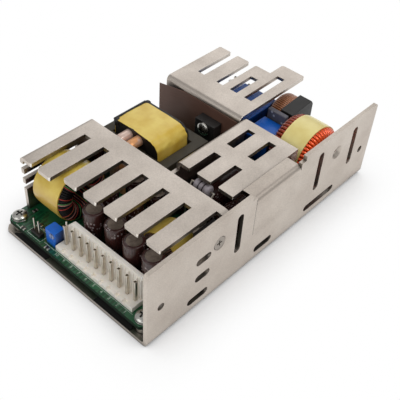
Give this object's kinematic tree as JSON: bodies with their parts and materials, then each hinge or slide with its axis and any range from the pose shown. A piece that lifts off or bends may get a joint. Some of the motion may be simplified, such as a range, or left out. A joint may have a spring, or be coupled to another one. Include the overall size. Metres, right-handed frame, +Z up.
{
  "type": "open frame power supply",
  "caption": "Open frame switching power supply: circuit board with chokes, transformer, capacitors and slotted sheet heatsinks on an L-shaped metal chassis.",
  "frame": {"origin": "centre of the chassis footprint, on the underside of the base", "axes": "+X from the output connector end to the mains input end, +Y from the side wall to the open edge, +Z up"},
  "size_m": [0.127, 0.0762, 0.036],
  "materials": {
    "sheet_aluminium": "satin",
    "steel_fastener": "bright zinc",
    "tinned_brass": "tinned",
    "green_laminate": "solder mask",
    "black_sheet": "satin",
    "brown_sheet": "satin",
    "black_plastic": "moulded",
    "yellow_tape": "polyester film",
    "dark_winding": "enamelled copper",
    "red_winding": "enamelled copper",
    "brown_winding": "enamelled copper",
    "bare_copper": "copper",
    "ferrite": "sintered",
    "capacitor_sleeve": "shrink sleeve",
    "white_nylon": "moulded",
    "blue_plastic": "moulded",
    "grey_plastic": "moulded",
    "white_ceramic": "ceramic",
    "blue_epoxy": "dipped",
    "dark_epoxy": "dipped",
    "lavender_lacquer": "lacquer"
  },
  "bodies": {
    "root": {"chassis": "sheet_aluminium", "insulator_sheet": "black_sheet", "board_standoffs": "steel_fastener", "circuit_board": "green_laminate", "screw_washers": "steel_fastener", "board_screws": "steel_fastener", "output_heatsink": "sheet_aluminium", "center_heatsink": "sheet_aluminium", "input_heatsink": "sheet_aluminium", "wall_screw": "steel_fastener", "wall_screw_nut": "steel_fastener", "output_rectifier": "black_plastic", "power_transistor": "black_plastic", "transistor_screw": "steel_fastener", "insulating_sheet": "brown_sheet", "output_choke_winding": "dark_winding", "output_choke_tape": "yellow_tape", "pfc_choke_winding": "red_winding", "pfc_choke_tape": "yellow_tape", "filter_inductor_winding": "dark_winding", "filter_inductor_tape": "yellow_tape", "transformer_core": "ferrite", "transformer_bobbin": "black_plastic", "transformer_winding": "yellow_tape", "transformer_leads": "bare_copper", "output_capacitors": "capacitor_sleeve", "rear_output_capacitors": "capacitor_sleeve", "bulk_capacitors": "capacitor_sleeve", "header_housing": "white_nylon", "header_pins": "tinned_brass", "trimmer_body": "blue_plastic", "jumper_base": "black_plastic", "jumper_pins": "tinned_brass", "film_capacitor_a": "blue_plastic", "film_capacitor_b": "blue_plastic", "standby_block": "grey_plastic", "line_choke_carrier": "black_plastic", "line_choke_winding": "brown_winding", "bridge_rectifier": "black_plastic", "inlet_housing": "white_nylon", "inlet_pins": "tinned_brass", "fuse": "white_ceramic", "varistor": "blue_epoxy", "inrush_thermistor": "dark_epoxy", "axial_resistor": "lavender_lacquer", "axial_leads": "tinned_brass"},
    "trimmer_rotor": {"trimmer_rotor": "white_nylon"}
  },
  "joints": [
    {"name": "trimmer_turn", "type": "hinge", "parent": "root", "child": "trimmer_rotor", "pos_m": [-0.0599, 0.01354, 0.0121], "axis": [-1, 0, 0], "range_deg": [-130, 130]}
  ]
}
